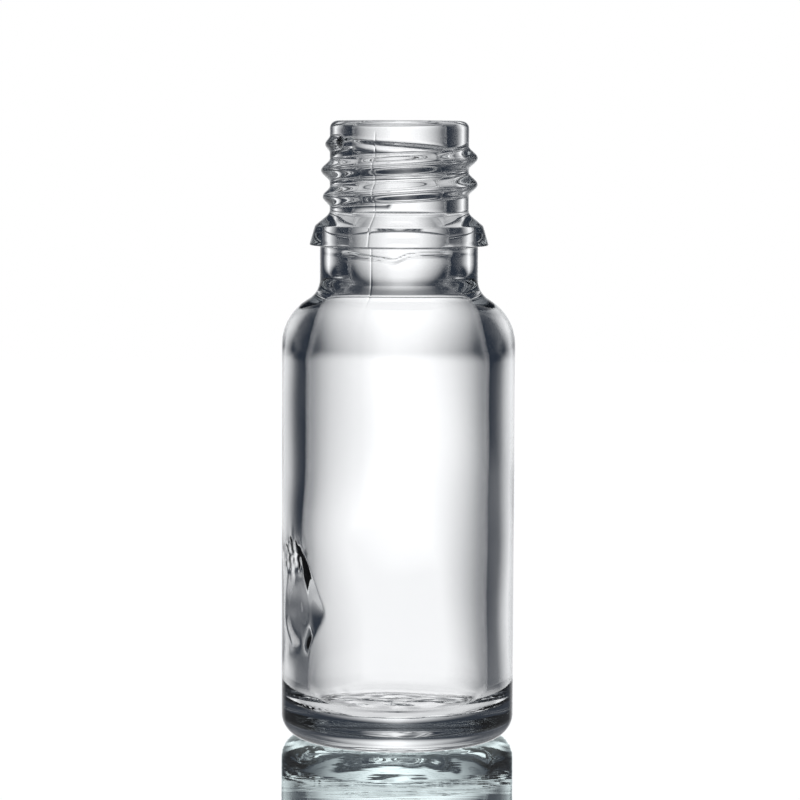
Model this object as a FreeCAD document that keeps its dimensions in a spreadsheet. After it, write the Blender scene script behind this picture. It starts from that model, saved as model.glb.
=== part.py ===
import FreeCAD, Part
import math
import os

import Sketcher

# A small round bottle of clear glass for drops, moulded in one piece.
# Millimetres, +Z up. The origin is the middle of the ring it stands on.
# Azimuths are counted from +X towards +Y, and -Y is the side seen in front.

# Sizes that drive the model, each with the alias of its cell.
SIZES = {
    # the whole
    "overall_height": 70.8,
    # outside of the body
    "body_radius": 13.38,
    "heel_radius": 2.6,
    "punt_radius": 9.4,
    "punt_rise": 1.1,
    "neck_height": 25.5,
    "shoulder_radius": 5.9,
    # lower neck and the bead that a cap's ring snaps over
    "neck_radius": 9.05,
    "neck_root_radius": 2.6,
    "bead_overhang": 1.23,
    "bead_face_height": 2.25,
    "bead_face_lean": 0.66,
    "bead_slope_height": 1.4,
    "bead_edge_round": 0.12,
    "bead_crown_round": 0.3,
    "bead_root_round": 0.9,
    "bead_under_round": 0.25,
    # threaded finish, from the bead's underside up to the lip
    "finish_height": 14.2,
    "finish_radius": 7.95,
    "lip_round": 0.9,
    "mouth_round": 0.5,
    "thread_pitch": 3.0,
    "thread_turns": 2.3,
    "thread_bead_radius": 1.05,
    "thread_bead_sink": 0.05,
    "thread_top_below_lip": 2.45,
    "thread_top_azimuth": 212.0,
    # inside
    "wall": 2.35,
    "mouth_radius": 5.45,
    "mouth_depth": 10.4,
    "mouth_taper_depth": 3.0,
    "neck_bore_radius": 5.9,
    "neck_edge_round": 3.6,
    "inner_shoulder_slope": 54.0,
    "inner_shoulder_radius": 8.0,
    "inner_shoulder_drop": 1.8,
    "floor_height": 3.7,
    "floor_corner_radius": 2.6,
    "floor_dome_rise": 0.6,
    # lump of glass left on the inner wall, low on one side
    "lump_azimuth": 206.0,
    "lump_height": 16.5,
    "lump_depth": 0.8,
    "lump_half_width": 4.0,
    "lump_half_height": 6.2,
    "lump_cover": 0.45,
}

# Places that follow from the sizes, as expressions on the sheet.
SHOULDER_START = "(Sizes.overall_height - Sizes.neck_height)"
NECK_ROOT_AXIS = "(Sizes.neck_radius + Sizes.neck_root_radius)"
SHOULDER_AXIS = "(Sizes.body_radius - Sizes.shoulder_radius)"
BEAD_UNDERSIDE = "(Sizes.overall_height - Sizes.finish_height)"
BEAD_EDGE_RADIUS = "(Sizes.neck_radius + Sizes.bead_overhang)"
BEAD_FACE_RADIUS = f"({BEAD_EDGE_RADIUS} - Sizes.bead_face_lean)"
BEAD_FACE_TOP = f"({BEAD_UNDERSIDE} + Sizes.bead_face_height)"
BEAD_SLOPE_TOP = f"({BEAD_FACE_TOP} + Sizes.bead_slope_height)"
INNER_RADIUS = "(Sizes.body_radius - Sizes.wall)"
INNER_SHOULDER_START = f"({SHOULDER_START} - Sizes.inner_shoulder_drop)"
INNER_SLOPE = "(Sizes.inner_shoulder_slope * 1 deg)"
INNER_TOUCH_RUN = f"(Sizes.inner_shoulder_radius * (1 - sin({INNER_SLOPE})))"
INNER_TOUCH_RADIUS = f"({INNER_RADIUS} - {INNER_TOUCH_RUN})"
INNER_TOUCH_RISE = f"(Sizes.inner_shoulder_radius * cos({INNER_SLOPE}))"
INNER_TOUCH_HEIGHT = f"({INNER_SHOULDER_START} + {INNER_TOUCH_RISE})"
NECK_EDGE_RUN = f"({INNER_TOUCH_RADIUS} - Sizes.neck_bore_radius)"
NECK_EDGE_HEIGHT = f"({INNER_TOUCH_HEIGHT} + {NECK_EDGE_RUN} * tan({INNER_SLOPE}))"
MOUTH_EDGE_RADIUS = "(Sizes.mouth_radius + Sizes.mouth_round)"
MOUTH_END = "(Sizes.overall_height - Sizes.mouth_depth)"
MOUTH_TAPER_END = f"({MOUTH_END} - Sizes.mouth_taper_depth)"
FLOOR_EDGE_RADIUS = f"({INNER_RADIUS} - Sizes.floor_corner_radius)"
FLOOR_TOP = "(Sizes.floor_height + Sizes.floor_dome_rise)"
THREAD_RADIUS = "(Sizes.finish_radius - Sizes.thread_bead_sink)"
THREAD_TOP_HEIGHT = "(Sizes.overall_height - Sizes.thread_top_below_lip)"
THREAD_LOW_HEIGHT = f"({THREAD_TOP_HEIGHT} - Sizes.thread_pitch * Sizes.thread_turns)"
THREAD_LOW_AZIMUTH = "(Sizes.thread_top_azimuth - 360 * Sizes.thread_turns)"
LUMP_REACH = "((Sizes.lump_depth + Sizes.wall - Sizes.lump_cover) / 2)"
LUMP_RADIUS = f"({INNER_RADIUS} - Sizes.lump_depth + {LUMP_REACH})"

# How far the cutting outline of the hollow stands above the lip.
CUT_OVER = 1.0
# How near an edge has to lie to the place where it is looked for.
FIND_WITHIN = 0.01

doc = FreeCAD.newDocument("dropper_bottle")


def make_sheet():
    """The spreadsheet with one named cell for each size."""
    cells = doc.addObject("Spreadsheet::Sheet", "Sizes")
    for row, (alias, number) in enumerate(SIZES.items(), start=1):
        cells.set(f"A{row}", alias)
        cells.set(f"B{row}", str(number))
        cells.setAlias(f"B{row}", alias)
    return cells


sheet = make_sheet()
doc.recompute()


def value(expression):
    """The number that an expression on the sheet comes to."""
    return float(sheet.evalExpression(expression))


def origin_plane(body, role):
    """One of a body's own planes."""
    for feature in body.Origin.OriginFeatures:
        if feature.Role == role:
            return feature
    raise RuntimeError(f"{body.Label} has no plane {role}")


def new_sketch(body, name):
    """A sketch whose x is the distance from the axis and whose y is the height."""
    sketch = body.newObject("Sketcher::SketchObject", name)
    sketch.AttachmentSupport = [(origin_plane(body, "XZ_Plane"), "")]
    sketch.MapMode = "FlatFace"
    return sketch


def point(x, y):
    return FreeCAD.Vector(x, y, 0)


def add_line(sketch, start, end):
    return sketch.addGeometry(Part.LineSegment(point(*start), point(*end)), False)


def add_arc(sketch, centre, radius, start, end):
    """An arc that runs anticlockwise from start to end about the centre."""
    first = math.atan2(start[1] - centre[1], start[0] - centre[0])
    last = math.atan2(end[1] - centre[1], end[0] - centre[0])
    if last <= first:
        last += 2 * math.pi
    circle = Part.Circle(point(*centre), FreeCAD.Vector(0, 0, 1), radius)
    return sketch.addGeometry(Part.ArcOfCircle(circle, first, last), False)


def point_number(name):
    """The sketcher's number for one of a curve's own points."""
    return ("edge", "start", "end", "centre").index(name)


def axis_number(name):
    """The sketcher's number for one of the sketch's own axes."""
    return -("curve", "radial", "upright").index(name)


def join(sketch, one, two):
    """The end of one curve is the start of the next."""
    ends = (one, point_number("end"), two, point_number("start"))
    sketch.addConstraint(Sketcher.Constraint("Coincident", *ends))


def smooth(sketch, one, one_end, two, two_end):
    """Two curves meet at a point and share their direction there."""
    ends = (one, point_number(one_end), two, point_number(two_end))
    sketch.addConstraint(Sketcher.Constraint("Tangent", *ends))


def level(sketch, *curves):
    for curve in curves:
        sketch.addConstraint(Sketcher.Constraint("Horizontal", curve))


def upright(sketch, *curves):
    for curve in curves:
        sketch.addConstraint(Sketcher.Constraint("Vertical", curve))


def put_on(sketch, curve, end, axis):
    """Keeps a curve's point on one of the sketch's axes."""
    place = (curve, point_number(end), axis_number(axis))
    sketch.addConstraint(Sketcher.Constraint("PointOnObject", *place))


def bind(sketch, expression, kind, *places):
    """A measured constraint whose value is tied to the sheet."""
    index = sketch.addConstraint(Sketcher.Constraint(kind, *places, value(expression)))
    sketch.setExpression(f"Constraints[{index}]", expression)


def set_distance(sketch, kind, curve, end, expression):
    """Distance of a point from the sketch's origin, along one axis."""
    origin = (axis_number("radial"), point_number("start"))
    bind(sketch, expression, kind, *origin, curve, point_number(end))


def set_radial(sketch, curve, end, expression):
    """Distance of a point from the upright axis."""
    set_distance(sketch, "DistanceX", curve, end, expression)


def set_height(sketch, curve, end, expression):
    """Height of a point above the ground."""
    set_distance(sketch, "DistanceY", curve, end, expression)


def set_arc(sketch, curve, expression):
    bind(sketch, expression, "Radius", curve)


def tangent_point(near, near_radius, far, far_radius):
    """Where two circles that touch from outside meet."""
    share = near_radius / (near_radius + far_radius)
    return (near[0] + (far[0] - near[0]) * share, near[1] + (far[1] - near[1]) * share)


def dome_radius(half_width, rise):
    """Radius of a shallow dome of a given width and rise."""
    return (half_width ** 2 + rise ** 2) / (2 * rise)


def outer_sketch(body):
    """Half outline of the outside, from the punt up to the lip."""
    sketch = new_sketch(body, "OuterOutline")
    body_r = value("Sizes.body_radius")
    heel = value("Sizes.heel_radius")
    punt = value("Sizes.punt_radius")
    rise = value("Sizes.punt_rise")
    start = value(SHOULDER_START)
    shoulder = value("Sizes.shoulder_radius")
    neck = value("Sizes.neck_radius")
    root = value("Sizes.neck_root_radius")
    under = value(BEAD_UNDERSIDE)
    bead_edge = (value(BEAD_EDGE_RADIUS), under)
    bead_crown = (value(BEAD_FACE_RADIUS), value(BEAD_FACE_TOP))
    bead_top = (value("Sizes.finish_radius"), value(BEAD_SLOPE_TOP))
    lip_edge = (bead_top[0], value("Sizes.overall_height"))

    punt_round = dome_radius(punt, rise)
    shoulder_centre = (value(SHOULDER_AXIS), start)
    across = value(NECK_ROOT_AXIS) - shoulder_centre[0]
    root_rise = math.sqrt((shoulder + root) ** 2 - across ** 2)
    root_centre = (value(NECK_ROOT_AXIS), start + root_rise)
    meet = tangent_point(shoulder_centre, shoulder, root_centre, root)

    # geometry, from the middle of the punt out, up the side and back to the axis
    punt_arc = add_arc(sketch, (0, rise - punt_round), punt_round, (punt, 0), (0, rise))
    ring = add_line(sketch, (punt, 0), (body_r - heel, 0))
    heel_arc = add_arc(sketch, (body_r - heel, heel), heel, (body_r - heel, 0), (body_r, heel))
    side = add_line(sketch, (body_r, heel), (body_r, start))
    shoulder_arc = add_arc(sketch, shoulder_centre, shoulder, (body_r, start), meet)
    root_arc = add_arc(sketch, root_centre, root, (neck, root_centre[1]), meet)
    neck_line = add_line(sketch, (neck, root_centre[1]), (neck, under))
    underside = add_line(sketch, (neck, under), bead_edge)
    face = add_line(sketch, bead_edge, bead_crown)
    slope = add_line(sketch, bead_crown, bead_top)
    land = add_line(sketch, bead_top, lip_edge)
    lip = add_line(sketch, lip_edge, (0, lip_edge[1]))
    middle = add_line(sketch, (0, lip_edge[1]), (0, rise))

    # how they meet
    smooth(sketch, ring, "end", heel_arc, "start")
    smooth(sketch, heel_arc, "end", side, "start")
    smooth(sketch, side, "end", shoulder_arc, "start")
    smooth(sketch, shoulder_arc, "end", root_arc, "end")
    smooth(sketch, root_arc, "start", neck_line, "start")
    straight = (neck_line, underside, face, slope, land, lip, middle)
    for one, two in zip(straight, straight[1:]):
        join(sketch, one, two)
    sketch.addConstraint(Sketcher.Constraint(
        "Coincident", middle, point_number("end"), punt_arc, point_number("end")))
    sketch.addConstraint(Sketcher.Constraint(
        "Coincident", punt_arc, point_number("start"), ring, point_number("start")))
    level(sketch, ring, underside, lip)
    upright(sketch, side, neck_line, land, middle)
    put_on(sketch, middle, "end", "upright")
    put_on(sketch, punt_arc, "centre", "upright")
    put_on(sketch, ring, "start", "radial")

    # sizes
    set_radial(sketch, ring, "start", "Sizes.punt_radius")
    set_height(sketch, middle, "end", "Sizes.punt_rise")
    set_arc(sketch, heel_arc, "Sizes.heel_radius")
    set_radial(sketch, side, "start", "Sizes.body_radius")
    set_height(sketch, side, "end", SHOULDER_START)
    set_arc(sketch, shoulder_arc, "Sizes.shoulder_radius")
    set_arc(sketch, root_arc, "Sizes.neck_root_radius")
    set_radial(sketch, neck_line, "end", "Sizes.neck_radius")
    set_height(sketch, neck_line, "end", BEAD_UNDERSIDE)
    set_radial(sketch, face, "start", BEAD_EDGE_RADIUS)
    set_radial(sketch, face, "end", BEAD_FACE_RADIUS)
    set_height(sketch, face, "end", BEAD_FACE_TOP)
    set_radial(sketch, land, "start", "Sizes.finish_radius")
    set_height(sketch, land, "start", BEAD_SLOPE_TOP)
    set_height(sketch, lip, "start", "Sizes.overall_height")
    return sketch


def cavity_sketch(body):
    """Half outline of the hollow, from above the open mouth down to the floor."""
    sketch = new_sketch(body, "CavityOutline")
    over_top = value("Sizes.overall_height") + CUT_OVER
    lip_top = value("Sizes.overall_height")
    lip_round = value("Sizes.mouth_round")
    lip_edge = value(MOUTH_EDGE_RADIUS)
    mouth = value("Sizes.mouth_radius")
    mouth_end = (mouth, value(MOUTH_END))
    bore = value("Sizes.neck_bore_radius")
    taper_end = (bore, value(MOUTH_TAPER_END))
    inner = value(INNER_RADIUS)
    start = value(INNER_SHOULDER_START)
    shoulder = value("Sizes.inner_shoulder_radius")
    corner = value("Sizes.floor_corner_radius")
    flat = value(FLOOR_EDGE_RADIUS)
    floor = value("Sizes.floor_height")
    dome = value("Sizes.floor_dome_rise")

    centre = (inner - shoulder, start)
    touch = (value(INNER_TOUCH_RADIUS), value(INNER_TOUCH_HEIGHT))
    edge = (bore, value(NECK_EDGE_HEIGHT))
    dome_round = dome_radius(flat, dome)

    # geometry, from the axis over the mouth, down the wall and back to the axis
    cover = add_line(sketch, (0, over_top), (lip_edge, over_top))
    over = add_line(sketch, (lip_edge, over_top), (lip_edge, lip_top))
    lip_arc = add_arc(sketch, (lip_edge, lip_top - lip_round), lip_round, (lip_edge, lip_top),
                      (mouth, lip_top - lip_round))
    mouth_line = add_line(sketch, (mouth, lip_top - lip_round), mouth_end)
    taper = add_line(sketch, mouth_end, taper_end)
    bore_line = add_line(sketch, taper_end, edge)
    cone = add_line(sketch, edge, touch)
    shoulder_arc = add_arc(sketch, centre, shoulder, (inner, start), touch)
    side = add_line(sketch, (inner, start), (inner, floor + corner))
    corner_arc = add_arc(sketch, (flat, floor + corner), corner, (flat, floor),
                         (inner, floor + corner))
    dome_arc = add_arc(sketch, (0, floor + dome - dome_round), dome_round,
                       (flat, floor), (0, floor + dome))
    middle = add_line(sketch, (0, floor + dome), (0, over_top))

    # how they meet
    smooth(sketch, lip_arc, "end", mouth_line, "start")
    smooth(sketch, cone, "end", shoulder_arc, "end")
    smooth(sketch, shoulder_arc, "start", side, "start")
    smooth(sketch, side, "end", corner_arc, "end")
    meeting = ((cover, over), (over, lip_arc), (mouth_line, taper), (taper, bore_line),
               (bore_line, cone), (dome_arc, middle), (middle, cover))
    for one, two in meeting:
        join(sketch, one, two)
    sketch.addConstraint(Sketcher.Constraint(
        "Coincident", corner_arc, point_number("start"), dome_arc, point_number("start")))
    level(sketch, cover)
    upright(sketch, over, mouth_line, bore_line, side, middle)
    put_on(sketch, middle, "start", "upright")
    put_on(sketch, dome_arc, "centre", "upright")

    # sizes
    set_height(sketch, cover, "end", f"Sizes.overall_height + {CUT_OVER}")
    set_height(sketch, over, "end", "Sizes.overall_height")
    set_arc(sketch, lip_arc, "Sizes.mouth_round")
    set_radial(sketch, over, "end", MOUTH_EDGE_RADIUS)
    set_radial(sketch, mouth_line, "end", "Sizes.mouth_radius")
    set_height(sketch, mouth_line, "end", MOUTH_END)
    set_radial(sketch, bore_line, "start", "Sizes.neck_bore_radius")
    set_height(sketch, bore_line, "start", MOUTH_TAPER_END)
    set_height(sketch, cone, "start", NECK_EDGE_HEIGHT)
    set_radial(sketch, side, "start", INNER_RADIUS)
    set_height(sketch, side, "start", INNER_SHOULDER_START)
    set_arc(sketch, shoulder_arc, "Sizes.inner_shoulder_radius")
    set_arc(sketch, corner_arc, "Sizes.floor_corner_radius")
    set_height(sketch, corner_arc, "start", "Sizes.floor_height")
    set_radial(sketch, corner_arc, "start", FLOOR_EDGE_RADIUS)
    set_height(sketch, middle, "start", FLOOR_TOP)
    return sketch


UP = "vector(0; 0; 1)"
# Stands a flat section up, so that it looks along the thread.
STAND_UP = "rotation(vector(1; 0; 0); 90)"


def around(radius, azimuth, height):
    """A place given by its distance from the axis, its azimuth and its height."""
    return f"vector({radius} * cos({azimuth} * 1 deg); {radius} * sin({azimuth} * 1 deg); {height})"


def add_part(kind, name, **expressions):
    """An object of the document whose properties are tied to the sheet."""
    item = doc.addObject(kind, name)
    for name_of_property, expression in expressions.items():
        item.setExpression(name_of_property, expression)
    return item


def make_thread():
    """The thread: a round bead wound right-handed about the finish, a ball at each end."""
    line = add_part("Part::Helix", "ThreadLine", Pitch="Sizes.thread_pitch",
                    Height="Sizes.thread_pitch * Sizes.thread_turns", Radius=THREAD_RADIUS,
                    Placement=f"placement(vector(0; 0; {THREAD_LOW_HEIGHT});"
                              f" rotation({UP}; {THREAD_LOW_AZIMUTH}))")
    low_end = around(THREAD_RADIUS, THREAD_LOW_AZIMUTH, THREAD_LOW_HEIGHT)
    top_end = around(THREAD_RADIUS, "Sizes.thread_top_azimuth", THREAD_TOP_HEIGHT)
    section = add_part("Part::Circle", "ThreadSection", Radius="Sizes.thread_bead_radius",
                       Placement=f"placement({low_end};"
                                 f" rotation({UP}; {THREAD_LOW_AZIMUTH}) * {STAND_UP})")
    doc.recompute()
    bead = doc.addObject("Part::Sweep", "ThreadBead")
    bead.Sections = [section]
    bead.Spine = (line, [f"Edge{number}" for number, _ in enumerate(line.Shape.Edges, start=1)])
    bead.Solid = True
    bead.Frenet = True
    noses = []
    for name, place in (("LowerNose", low_end), ("UpperNose", top_end)):
        noses.append(add_part("Part::Sphere", name, Radius="Sizes.thread_bead_radius",
                              Placement=f"placement({place}; rotation({UP}; 0))"))
    thread = doc.addObject("Part::MultiFuse", "Thread")
    thread.Shapes = [bead] + noses
    return thread


def revolve(body, name, sketch):
    """A solid turned about the bottle's axis."""
    feature = body.newObject("PartDesign::Revolution", name)
    feature.Profile = sketch
    feature.ReferenceAxis = (sketch, ["V_Axis"])
    feature.Angle = 360.0
    doc.recompute()
    return feature


def ring_edge(shape, radius, height):
    """The name of the round edge at a radius and a height."""
    for number, edge in enumerate(shape.Edges, start=1):
        box = edge.BoundBox
        flat = box.ZLength < FIND_WITHIN and abs(box.ZMin - height) < FIND_WITHIN
        if flat and abs(box.XMax - radius) < FIND_WITHIN and abs(box.XMin + radius) < FIND_WITHIN:
            return f"Edge{number}"
    raise RuntimeError(f"no round edge of radius {radius:.2f} at height {height:.2f}")


def round_edge(body, name, base, radius, height, rounding):
    """Rounds one ring of the glass, found by its radius and height."""
    feature = body.newObject("PartDesign::Fillet", name)
    feature.Base = (base, [ring_edge(base.Shape, radius, height)])
    feature.setExpression("Radius", rounding)
    doc.recompute()
    return feature


def make_blank():
    """The outside of the glass as a full turned body, with its edges rounded."""
    body = doc.addObject("PartDesign::Body", "Blank")
    feature = revolve(body, "Outside", outer_sketch(body))
    rounds = (
        ("BeadUnderRound", "Sizes.neck_radius", BEAD_UNDERSIDE, "Sizes.bead_under_round"),
        ("BeadEdgeRound", BEAD_EDGE_RADIUS, BEAD_UNDERSIDE, "Sizes.bead_edge_round"),
        ("BeadCrownRound", BEAD_FACE_RADIUS, BEAD_FACE_TOP, "Sizes.bead_crown_round"),
        ("BeadRootRound", "Sizes.finish_radius", BEAD_SLOPE_TOP, "Sizes.bead_root_round"),
        ("LipRound", "Sizes.finish_radius", "Sizes.overall_height", "Sizes.lip_round"),
    )
    for name, radius, height, rounding in rounds:
        feature = round_edge(body, name, feature, value(radius), value(height), rounding)
    return body


def make_hollow():
    """The space inside the glass, from the open mouth to the floor."""
    body = doc.addObject("PartDesign::Body", "Hollow")
    space = revolve(body, "Space", cavity_sketch(body))
    round_edge(body, "NeckEdgeRound", space, value("Sizes.neck_bore_radius"),
               value(NECK_EDGE_HEIGHT), "Sizes.neck_edge_round")
    return body


def make_lump():
    """The lens of extra glass on the inner wall, seated in the wall behind it."""
    place = around(LUMP_RADIUS, "Sizes.lump_azimuth", "Sizes.lump_height")
    return add_part("Part::Ellipsoid", "Lump", Radius1="Sizes.lump_half_height",
                    Radius2=LUMP_REACH, Radius3="Sizes.lump_half_width",
                    Placement=f"placement({place}; rotation({UP}; Sizes.lump_azimuth))")


def fuse(name, base, tool):
    """Two solids grown into one."""
    whole = doc.addObject("Part::Fuse", name)
    whole.Base = base
    whole.Tool = tool
    return whole


def make_bottle():
    """The whole bottle: turned outside, hollowed, with its thread and the lump inside."""
    shell = doc.addObject("Part::Cut", "Shell")
    shell.Base = make_blank()
    shell.Tool = make_hollow()
    lumped = fuse("LumpedShell", shell, make_lump())
    whole = fuse("bottle", lumped, make_thread())
    whole.Label = "bottle"
    whole.Placement = FreeCAD.Placement(FreeCAD.Vector(0, 0, 0), FreeCAD.Rotation())
    return whole


def check(objects):
    """Stops if anything in the document failed."""
    for item in objects:
        if "Invalid" in item.State or "Error" in item.State:
            raise RuntimeError(f"{item.Label} failed: {item.State}")


bottle = make_bottle()
doc.recompute()
check(doc.Objects)

shape = bottle.Shape
if shape.isNull() or not shape.isValid() or len(shape.Solids) != 1:
    raise RuntimeError("the bottle is not one valid solid")
print(f"bottle: {shape.Volume:.1f} mm3 of glass, {len(shape.Faces)} faces, {shape.BoundBox}")

os.makedirs("parts", exist_ok=True)
shape.exportStep("parts/bottle.step")
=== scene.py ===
"""Looks of a small bottle of clear glass for drops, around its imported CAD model."""

from __future__ import annotations

import logging
import math
from dataclasses import dataclass, field
from enum import Enum
from typing import Sequence

import bmesh
import bpy
import numpy as np
from mathutils import Matrix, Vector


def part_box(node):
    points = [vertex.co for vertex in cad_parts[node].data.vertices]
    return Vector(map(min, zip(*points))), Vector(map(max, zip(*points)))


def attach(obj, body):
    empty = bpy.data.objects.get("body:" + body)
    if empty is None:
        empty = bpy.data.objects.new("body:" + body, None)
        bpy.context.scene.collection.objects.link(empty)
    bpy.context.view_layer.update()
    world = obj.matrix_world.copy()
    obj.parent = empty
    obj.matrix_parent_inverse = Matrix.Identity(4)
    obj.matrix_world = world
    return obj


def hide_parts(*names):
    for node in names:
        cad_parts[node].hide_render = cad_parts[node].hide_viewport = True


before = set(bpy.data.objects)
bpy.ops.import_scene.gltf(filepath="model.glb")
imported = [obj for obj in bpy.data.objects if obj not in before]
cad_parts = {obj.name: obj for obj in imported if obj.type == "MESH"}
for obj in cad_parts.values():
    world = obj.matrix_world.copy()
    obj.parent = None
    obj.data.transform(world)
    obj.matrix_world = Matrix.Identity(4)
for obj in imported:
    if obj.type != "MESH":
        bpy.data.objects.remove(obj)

Array = np.ndarray
Pair = tuple[float, float]
Triple = tuple[float, float, float]
Four = tuple[float, float, float, float]

MM = 0.001
NODE = "bottle"
BODY = "root"
WAVE_COUNT = 12
BLUR_STEPS = 5
SHORTEST_RUN = 1e-6
WHITE = (1.0, 1.0, 1.0, 1.0)

log = logging.getLogger("bottle")
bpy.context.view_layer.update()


def smooth_step(low: float, high: float, x: Array) -> Array:
    """A soft step from 0 at low to 1 at high."""
    t = np.clip((x - low) / (high - low), 0.0, 1.0)
    return t * t * (3.0 - 2.0 * t)


def plateau(zone: Sequence[float], x: Array) -> Array:
    """1 within a zone, with soft edges: it comes up over the first two places and ends over the last."""
    low, full, fading, end = zone
    return smooth_step(low, full, x) * (1.0 - smooth_step(fading, end, x))


def turn_between(one: Array | float, two: float) -> Array:
    """The signed angle from two to one, in degrees, from -180 to 180."""
    return (np.asarray(one) - two + 180.0) % 360.0 - 180.0


def bell(x: Array, width: float) -> Array:
    """A soft bump of height 1 at 0, about half as high at 1.2 widths."""
    return np.exp(-0.5 * (x / width) ** 2)


def waves(x: Array, y: Array, shortest: float, longest: float, seed: int) -> Array:
    """An uneven pattern of crossing waves, mostly between -1 and 1.

    Args:
        x: Places along one direction, in millimetres.
        y: Places across it.
        shortest: Length of the shortest wave.
        longest: Length of the longest wave.
        seed: Which pattern.

    Returns:
        The pattern's height at each place.
    """
    draw = np.random.default_rng(seed)
    heading = draw.uniform(0.0, math.tau, WAVE_COUNT)
    length = draw.uniform(shortest, longest, WAVE_COUNT)
    start = draw.uniform(0.0, math.tau, WAVE_COUNT)
    total = np.zeros(np.broadcast(x, y).shape)
    for angle, span, phase in zip(heading, length, start):
        total += np.sin((x * math.cos(angle) + y * math.sin(angle)) * math.tau / span + phase)
    return total / math.sqrt(WAVE_COUNT)


def add_object(name: str, data: bpy.types.ID) -> bpy.types.Object:
    """Adds an object with the given mesh or camera to the scene."""
    made = bpy.data.objects.new(name, data)
    bpy.context.scene.collection.objects.link(made)
    log.info("%s: added", name)
    return made


class Side(Enum):
    """The two sides of the bottle, as the camera sees them."""

    LEFT = -1.0
    RIGHT = 1.0


@dataclass(frozen=True)
class Corner:
    """One corner of a half outline.

    Attributes:
        r: Distance from the axis, in millimetres.
        z: Height above the ground, in millimetres.
        rounding: Radius of its fillet.
        step: Longest row spacing on the straight run that leads to it.
    """

    r: float
    z: float
    rounding: float = 0.0
    step: float = 2.0


@dataclass
class Outline:
    """A half outline of lines and fillets, sampled into rows.

    Attributes:
        corners: The corners in order. The first and last are its ends.
        arc_step: Longest turn between two rows on a fillet, in degrees.
    """

    corners: Sequence[Corner]
    arc_step: float = 9.0

    def rows(self) -> Array:
        """Samples the outline.

        Returns:
            An array of (r, z) points, in millimetres.
        """
        points: list[Array] = [np.array((self.corners[0].r, self.corners[0].z))]
        for before, corner, after in zip(self.corners, self.corners[1:], self.corners[2:]):
            arc = self._fillet(before, corner, after)
            self._run(points, arc[0], corner.step)
            points.extend(arc[1:])
        last = self.corners[-1]
        self._run(points, np.array((last.r, last.z)), last.step)
        return np.array(points)

    def _fillet(self, before: Corner, corner: Corner, after: Corner) -> list[Array]:
        """The points of one rounded corner, from where its arc starts."""
        tip = np.array((corner.r, corner.z))
        back = np.array((before.r, before.z)) - tip
        ahead = np.array((after.r, after.z)) - tip
        back /= np.linalg.norm(back)
        ahead /= np.linalg.norm(ahead)
        if corner.rounding <= 0.0:
            return [tip]
        half = math.acos(float(np.clip(back @ ahead, -1.0, 1.0))) / 2.0
        turn = math.pi - 2.0 * half
        reach = corner.rounding / math.tan(half)
        middle = back + ahead
        middle /= np.linalg.norm(middle)
        centre = tip + middle * corner.rounding / math.sin(half)
        start = tip + back * reach - centre
        end = tip + ahead * reach - centre
        count = max(2, math.ceil(math.degrees(turn) / self.arc_step))
        points = []
        for share in np.linspace(0.0, 1.0, count + 1):
            spread = (math.sin((1.0 - share) * turn) * start + math.sin(share * turn) * end)
            points.append(centre + spread / math.sin(turn))
        return points

    @staticmethod
    def _run(points: list[Array], end: Array, step: float) -> None:
        """Adds evenly spaced points from the last point to an end."""
        start = points[-1]
        length = float(np.linalg.norm(end - start))
        if length < SHORTEST_RUN:
            return
        count = max(1, math.ceil(length / step))
        for share in np.linspace(0.0, 1.0, count + 1)[1:]:
            points.append(start + (end - start) * share)


def dome_rows(half_width: float, edge_z: float, rise: float, count: int) -> Array:
    """Rows of a shallow dome, from its middle out to its edge.

    Args:
        half_width: Radius of the dome's edge, in millimetres.
        edge_z: Height of its edge.
        rise: How much higher its middle is.
        count: Number of rows between middle and edge.

    Returns:
        An array of (r, z) points, without the middle and with the edge.
    """
    radius = (half_width ** 2 + rise ** 2) / (2.0 * rise)
    reach = half_width * np.linspace(0.0, 1.0, count + 1)[1:]
    height = edge_z + rise - radius + np.sqrt(radius ** 2 - reach ** 2)
    return np.stack((reach, height), axis=1)


@dataclass
class Finish:
    """The threaded finish above the bead, in millimetres and degrees.

    Attributes:
        radius: Radius at the thread's root.
        crest: Height of the thread.
        half_width: Half the width of its foot.
        fullness: How pointed its section is.
        pitch: Rise of one turn.
        top_below_lip: How far below the lip its upper end lies.
        top_azimuth: Azimuth of its upper end.
        turns: Number of turns.
        taper: Length of its tapering ends.
        end_height: Share of the height that is left at an end.
        row_step: Spacing of the mesh's rows.
    """

    radius: float = 7.95
    crest: float = 1.0
    half_width: float = 1.3
    fullness: float = 1.6
    pitch: float = 3.0
    top_below_lip: float = 2.45
    top_azimuth: float = 212.0
    turns: float = 2.3
    taper: float = 130.0
    end_height: float = 0.45
    row_step: float = 0.14

    def ridge(self, azimuth: Array, z: Array, lip_z: float) -> Array:
        """Height of the thread over the finish.

        Args:
            azimuth: Azimuths, in degrees.
            z: Heights, in millimetres.
            lip_z: Height of the lip.

        Returns:
            The ridge's height at each point, from 0 to the crest.
        """
        top_z = lip_z - self.top_below_lip
        height = np.zeros(np.broadcast(azimuth, z).shape)
        for lap in range(math.ceil(self.turns) + 1):
            behind = (self.top_azimuth - azimuth) % 360.0 + 360.0 * lap
            for travel in (behind, behind - 360.0) if lap == 0 else (behind,):
                middle = top_z - self.pitch * travel / 360.0
                past = np.maximum(-travel, travel - 360.0 * self.turns)
                beyond = np.maximum(past, 0.0) * math.radians(self.radius + self.crest)
                away = np.hypot(z - middle, beyond)
                ends = self.end_height + (1.0 - self.end_height) * smooth_step(0.0, self.taper, -past)
                width = self.half_width * np.sqrt(ends)
                full = np.cos(0.5 * math.pi * np.clip(away / width, 0.0, 1.0))
                height = np.maximum(height, self.crest * ends * full ** self.fullness)
        return height


@dataclass(frozen=True)
class Knot:
    """A value at a place along a profile.

    Attributes:
        place: Height or angle of the knot.
        value: The profile's value there.
    """

    place: float
    value: float


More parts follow.
